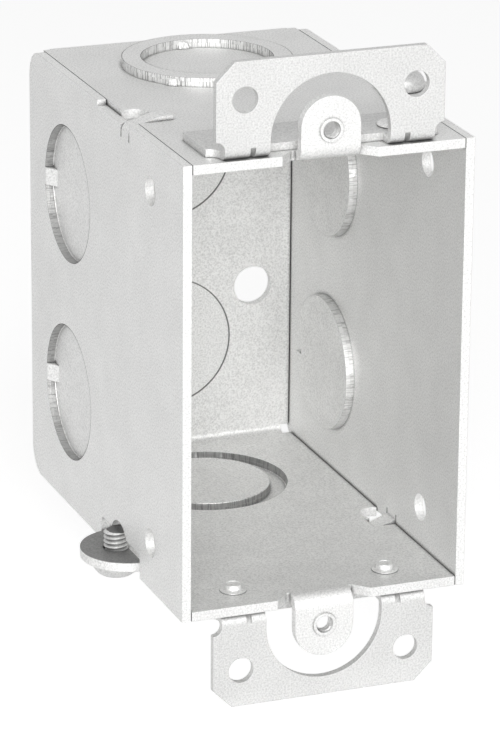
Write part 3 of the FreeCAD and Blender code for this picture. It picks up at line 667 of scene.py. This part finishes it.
def shear_wall(name, radius, low, high, outward, sizes, tie_gap=0.0):
    """A band over a punched circular wall about the Z axis, fluted by the punch's drag.

    Outward is 1 where the wall faces away from the axis, and -1 where it faces the axis. Half
    way up, the smooth sheared zone ends in a fine step, and the torn zone stands back of it.
    Tie gap is the width left open at the back, for the tie that holds the knockout there.
    """
    count = 2 * round(2 * math.pi * radius / sizes.flute)
    bpy.ops.object.select_all(action="DESELECT")
    start = radius + outward * (0.008 if outward > 0 else 0.045) * MM
    bpy.ops.mesh.primitive_circle_add(
        vertices=count, radius=start, fill_type="NOTHING", location=(0, 0, low))
    band = bpy.context.active_object
    band.name = name
    bpy.ops.object.transform_apply(location=True, rotation=True, scale=True)
    height = high - low
    bpy.ops.object.mode_set(mode="EDIT")
    bpy.ops.mesh.select_all(action="SELECT")
    zones = (("lead", 0.12), ("sheared", 0.40), ("step", 0.04), ("torn", 0.34), ("edge", 0.10))
    for zone, rise in zones:
        bpy.ops.mesh.extrude_region_move(
            TRANSFORM_OT_translate={"value": (0, 0, height * rise)})
        if zone == "step":
            share = (start + outward * sizes.tear_step) / start
            bpy.ops.transform.resize(value=(share, share, 1), center_override=(0, 0, 0))
    levels = [low + height * share for share in (0.12, 0.52, 0.56)]

    def column(co):
        """The number of a vertex's column, counted round the wall."""
        return round((math.atan2(co.y, co.x) % (2 * math.pi)) / (2 * math.pi) * count) % count

    def on_rings(co):
        """Whether a vertex is on one of the rings that bound the two zones."""
        return any(abs(co.z - level) < 0.01 * height for level in levels)

    for every, which, depth in ((2, (0,), 1.0), (7, (3, 4), 0.6), (11, (5,), 0.9)):
        pick_vertices(band, lambda co: on_rings(co) and column(co) % every in which)
        share = (start + outward * sizes.flute_depth * depth) / start
        bpy.ops.transform.resize(value=(share, share, 1), center_override=(0, 0, 0))
    if tie_gap:
        pick_vertices(band, lambda co: co.y > 0 and abs(co.x) < tie_gap / 2)
        bpy.ops.mesh.delete(type="VERT")
    bpy.ops.mesh.select_all(action="SELECT")
    bpy.ops.mesh.normals_make_consistent(inside=False)
    mesh = bmesh.from_edit_mesh(band.data)
    mesh.faces.ensure_lookup_table()
    face = mesh.faces[0]
    away = face.normal.dot(Vector((face.calc_center_median().x, face.calc_center_median().y, 0)))
    if away * outward < 0:
        bpy.ops.mesh.flip_normals()
    bpy.ops.object.mode_set(mode="OBJECT")
    return band


def burr(name, radius, level, sizes, tie_gap):
    """The fine raised ring that the punch leaves along a knockout's edge, about the Z axis."""
    bpy.ops.object.select_all(action="DESELECT")
    bpy.ops.mesh.primitive_torus_add(
        major_radius=radius, minor_radius=sizes.burr / 2, major_segments=120, minor_segments=8,
        location=(0, 0, level))
    ring = bpy.context.active_object
    ring.name = name
    bpy.ops.object.transform_apply(location=True, rotation=True, scale=True)
    bpy.ops.object.mode_set(mode="EDIT")
    if tie_gap:
        pick_vertices(ring, lambda co: co.y > 0 and abs(co.x) < tie_gap / 2)
        bpy.ops.mesh.delete(type="VERT")
        bpy.ops.mesh.select_all(action="SELECT")
        bpy.ops.mesh.fill_holes(sides=8)
    bpy.ops.mesh.select_all(action="SELECT")
    bpy.ops.mesh.normals_make_consistent(inside=False)
    bpy.ops.object.mode_set(mode="OBJECT")
    return ring


def stretched_web(name, radius, angle, outward, sizes):
    """The web that holds a punched ring: metal stretched from the ring's top to the sheet."""
    bpy.ops.object.select_all(action="DESELECT")
    bpy.ops.mesh.primitive_cube_add(
        size=END_KNOCKOUT_PUSH,
        location=(radius + outward * 0.1 * MM, 0, END_FACE + END_KNOCKOUT_PUSH / 2 - 0.05 * MM))
    web = bpy.context.active_object
    web.name = name
    bpy.ops.object.transform_apply(location=True, rotation=True, scale=True)
    share = sizes.web_width / END_KNOCKOUT_PUSH
    bpy.ops.object.mode_set(mode="EDIT")
    bpy.ops.mesh.select_all(action="SELECT")
    bpy.ops.transform.resize(value=(0.9, share, 1), center_override=(radius, 0, END_FACE))
    pick_vertices(web, lambda co: (co.x - radius) * outward > 0 and co.z > END_FACE + 0.5 * MM)
    bpy.ops.transform.translate(value=(-outward * 0.35 * MM, 0, -0.2 * MM))
    bpy.ops.transform.resize(value=(1, 0.6, 1), center_override=(radius, 0, END_FACE))
    bpy.ops.object.mode_set(mode="OBJECT")
    apply_modifier(web, "BEVEL", width=0.25 * MM, segments=3)
    set_in_place(web, (0, 0, 0), (0, 0, angle))
    return web


class SWITCHBOX_OT_knockout_walls(bpy.types.Operator):
    """Make the fluted walls that the punch left round the end and side knockouts"""

    bl_idname = "switchbox.knockout_walls"
    bl_label = "Make the knockouts' walls"

    def execute(self, context):
        sizes = context.scene.switchbox_hardware
        finish = context.scene.switchbox_zinc
        # Bare sheared steel: bright with fine upright streaks outside, darkened with painted shade
        # to about half in the recesses, and brightest on the burrs, which draw a thin light line
        # round each disc.
        end_steel = sheared_steel("punched_end_wall_steel", finish, (1, 1, 0.04), 0.62, 0.92)
        shaded_recess_steel = sheared_steel("shaded_punched_recess_wall_steel", finish, (1, 1, 0.04), 0.78, 0.54)
        shaded_side_steel = sheared_steel(
            "shaded_punched_side_wall_steel", finish, (0.04, 1, 1), 0.86, 0.52)
        burr_steel = sheared_steel("punched_burr_steel", finish, (1, 1, 0.04), 0.95, 0.95)
        rim_steel = sheared_steel("punched_rim_steel", finish, (0.04, 1, 1), 0.90, 0.84)
        top = END_FACE + END_KNOCKOUT_PUSH
        recess = END_INSIDE + END_KNOCKOUT_PUSH
        for end, turn in (("upper", UPRIGHT), ("lower", HALF_TURN)):
            walls = [
                shear_wall("wall", END_KNOCKOUT_OUTER, END_FACE, top, 1, sizes),
                shear_wall("wall", END_KNOCKOUT_INNER, END_FACE, top, -1, sizes),
                stretched_web("web", END_KNOCKOUT_OUTER, math.radians(226), 1, sizes),
                stretched_web("web", END_KNOCKOUT_INNER, math.radians(91), -1, sizes),
            ]
            inside = [
                shear_wall("wall", END_KNOCKOUT_OUTER, END_INSIDE, recess, -1, sizes),
                shear_wall("wall", END_KNOCKOUT_INNER, END_INSIDE, recess, 1, sizes),
            ]
            edges = [
                burr("burr", END_KNOCKOUT_INNER - 0.10 * MM, END_INSIDE + 0.06 * MM, sizes, 0),
                burr("burr", END_KNOCKOUT_OUTER - 0.16 * MM, recess, sizes, 0),
            ]
            for name, parts, steel in (
                    ("_end_knockout_wall", walls, end_steel),
                    ("_end_recess_wall", inside, shaded_recess_steel),
                    ("_end_knockout_burr", edges, burr_steel)):
                made = join(end + name, parts)
                set_in_place(made, (0, END_KNOCKOUT_DEPTH, 0), turn)
                finish_piece(made, steel, "box", "body_sheet")
        push = SIDE_KNOCKOUT_PUSH
        for side, turn in (("left", (0, -math.pi / 2, 0)), ("right", (0, math.pi / 2, 0))):
            for end, up in (("upper", SIDE_KNOCKOUT_HEIGHT), ("lower", -SIDE_KNOCKOUT_HEIGHT)):
                recess = shear_wall(
                    "wall", SIDE_KNOCKOUT, SIDE_FACE - push, SIDE_FACE, -1, sizes, sizes.tie_gap)
                rim = join("rim", [
                    shear_wall(
                        "wall", SIDE_KNOCKOUT, SIDE_INSIDE - push, SIDE_INSIDE, 1, sizes,
                        sizes.tie_gap),
                    burr(
                        "burr", SIDE_KNOCKOUT - 0.16 * MM, SIDE_FACE - push, sizes,
                        sizes.tie_gap),
                ])
                for made, name, steel in (
                        (recess, "recess", shaded_side_steel), (rim, "rim", rim_steel)):
                    made.name = "%s_%s_knockout_%s" % (side, end, name)
                    set_in_place(made, (0, SIDE_KNOCKOUT_DEPTH, up), turn)
                    finish_piece(made, steel, "box", "side_plate_sheet")
        return {"FINISHED"}


def photo_camera(setup):
    """The camera, turned by azimuth, elevation and roll to the photograph's view."""
    data = bpy.data.cameras.new("studio_camera")
    camera = bpy.data.objects.new("studio_camera", data)
    bpy.context.scene.collection.objects.link(camera)
    towards = Vector((
        math.sin(setup.azimuth) * math.cos(setup.elevation),
        math.cos(setup.azimuth) * math.cos(setup.elevation),
        -math.sin(setup.elevation)))
    right = towards.cross(Vector((0, 0, 1))).normalized()
    up = right.cross(towards)
    leaned_right = math.cos(setup.roll) * right + math.sin(setup.roll) * up
    leaned_up = -math.sin(setup.roll) * right + math.cos(setup.roll) * up
    turned = Matrix((leaned_right, leaned_up, -towards)).transposed().to_4x4()
    camera.matrix_world = Matrix.Translation(setup.camera_at) @ turned
    data.sensor_fit = "AUTO"
    data.sensor_width = 36
    data.lens = setup.focal_length
    data.clip_start = 0.01
    data.clip_end = 20
    return camera


def area_light(name, at, target, width, height, power):
    """A soft rectangular lamp that faces a point."""
    data = bpy.data.lights.new(name, "AREA")
    data.shape = "RECTANGLE"
    data.size = width
    data.size_y = height
    data.energy = power
    lamp = bpy.data.objects.new(name, data)
    bpy.context.scene.collection.objects.link(lamp)
    facing = (Vector(target) - Vector(at)).to_track_quat("-Z", "Y")
    lamp.matrix_world = Matrix.Translation(at) @ facing.to_matrix().to_4x4()
    return lamp


def background_rays(tree):
    """1 for rays that should see a white background: camera, glossy and transmitted rays."""
    path = add_node(tree, "LightPath")
    either = add_node(tree, "Math", {"operation": "MAXIMUM"}, {
        0: path.outputs["Is Camera Ray"], 1: path.outputs["Is Glossy Ray"]})
    return add_node(tree, "Math", {"operation": "MAXIMUM"}, {
        0: either.outputs[0], 1: path.outputs["Is Transmission Ray"]}).outputs[0]


def pale_floor_paint():
    """Smooth white board: shadows show on it, and what sees it directly sees white."""
    material, tree, output = new_material("white_board")
    board = add_node(tree, "BsdfDiffuse", {"Color": toned(linear("#C8C8C8"), 1.0)})
    glow = add_node(tree, "Emission", {"Color": (1, 1, 1, 1)})
    lift = add_node(tree, "Math", {"operation": "MULTIPLY", 1: 0.80}, {0: background_rays(tree)})
    tree.links.new(lift.outputs[0], glow.inputs["Strength"])
    both = add_node(tree, "AddShader")
    tree.links.new(board.outputs[0], both.inputs[0])
    tree.links.new(glow.outputs[0], both.inputs[1])
    tree.links.new(both.outputs[0], output.inputs["Surface"])
    return material


def studio_world(ambient):
    """An even grey room that cameras and reflections see as white."""
    world = bpy.data.worlds.new("studio_room")
    world.use_nodes = True
    tree = world.node_tree
    tree.nodes.clear()
    output = tree.nodes.new("ShaderNodeOutputWorld")
    seen = background_rays(tree)
    strength = add_node(tree, "MapRange", {"To Min": ambient, "To Max": 1.0}, {"Value": seen})
    room = add_node(tree, "Background", {"Color": (1, 1, 1, 1)}, {
        "Strength": strength.outputs["Result"]})
    tree.links.new(room.outputs[0], output.inputs["Surface"])
    return world


class SWITCHBOX_OT_studio(bpy.types.Operator):
    """Set the floor, the lamps, the room and the camera"""

    bl_idname = "switchbox.studio"
    bl_label = "Set the studio"

    def execute(self, context):
        setup = context.scene.switchbox_studio
        scene = context.scene
        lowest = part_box("bottom_plaster_ear")[0].z
        bpy.ops.object.select_all(action="DESELECT")
        bpy.ops.mesh.primitive_plane_add(size=12, location=(0, 0, 0))
        floor = context.active_object
        floor.name = "studio_floor"
        floor.data.transform(Matrix.Translation((0, 0, lowest - setup.floor_drop)))
        floor.location = (0, 0, 0)
        floor.data.materials.append(pale_floor_paint())
        scene.world = studio_world(setup.ambient)
        middle = (0, 0.035, 0)
        lamps = (
            ("key_lamp", (-0.3, -0.85, 0.62), 0.9, 0.7, setup.key_power),
            ("fill_lamp", (-0.5, -1.02, 0.16), 0.6, 0.6, setup.fill_power),
            ("right_lamp", (0.35, -0.9, 0.5), 0.7, 0.7, setup.right_power),
        )
        for name, at, width, height, power in lamps:
            area_light(name, at, middle, width, height, power)
        scene.camera = photo_camera(setup)
        scene.view_settings.view_transform = "Standard"
        return {"FINISHED"}


class SWITCHBOX_PT_panel(bpy.types.Panel):
    """The pieces and the studio, one button each"""

    bl_label = "Switch Box"
    bl_space_type = "VIEW_3D"
    bl_region_type = "UI"
    bl_category = "Switch Box"

    def draw(self, context):
        for step in STEPS:
            self.layout.operator(step.bl_idname)
        for name in ("switchbox_zinc", "switchbox_hardware", "switchbox_studio"):
            group = getattr(context.scene, name)
            for field in group.bl_rna.properties.keys():
                if field not in ("rna_type", "name"):
                    self.layout.prop(group, field)


STEPS = (
    SWITCHBOX_OT_sheets,
    SWITCHBOX_OT_rivets,
    SWITCHBOX_OT_clamp_screws,
    SWITCHBOX_OT_device_holes,
    SWITCHBOX_OT_knockout_walls,
    SWITCHBOX_OT_studio,
)
GROUPS = (ZincFinish, HardwareSizes, StudioSetup)


def register():
    for kind in (*GROUPS, *STEPS, SWITCHBOX_PT_panel):
        bpy.utils.register_class(kind)
    bpy.types.Scene.switchbox_zinc = bpy.props.PointerProperty(type=ZincFinish)
    bpy.types.Scene.switchbox_hardware = bpy.props.PointerProperty(type=HardwareSizes)
    bpy.types.Scene.switchbox_studio = bpy.props.PointerProperty(type=StudioSetup)


def unregister():
    del bpy.types.Scene.switchbox_studio
    del bpy.types.Scene.switchbox_hardware
    del bpy.types.Scene.switchbox_zinc
    for kind in reversed((*GROUPS, *STEPS, SWITCHBOX_PT_panel)):
        bpy.utils.unregister_class(kind)


def main():
    register()
    bpy.ops.switchbox.sheets()
    bpy.ops.switchbox.rivets()
    bpy.ops.switchbox.clamp_screws()
    bpy.ops.switchbox.device_holes()
    bpy.ops.switchbox.knockout_walls()
    bpy.ops.switchbox.studio()


if __name__ == "__main__":
    main()
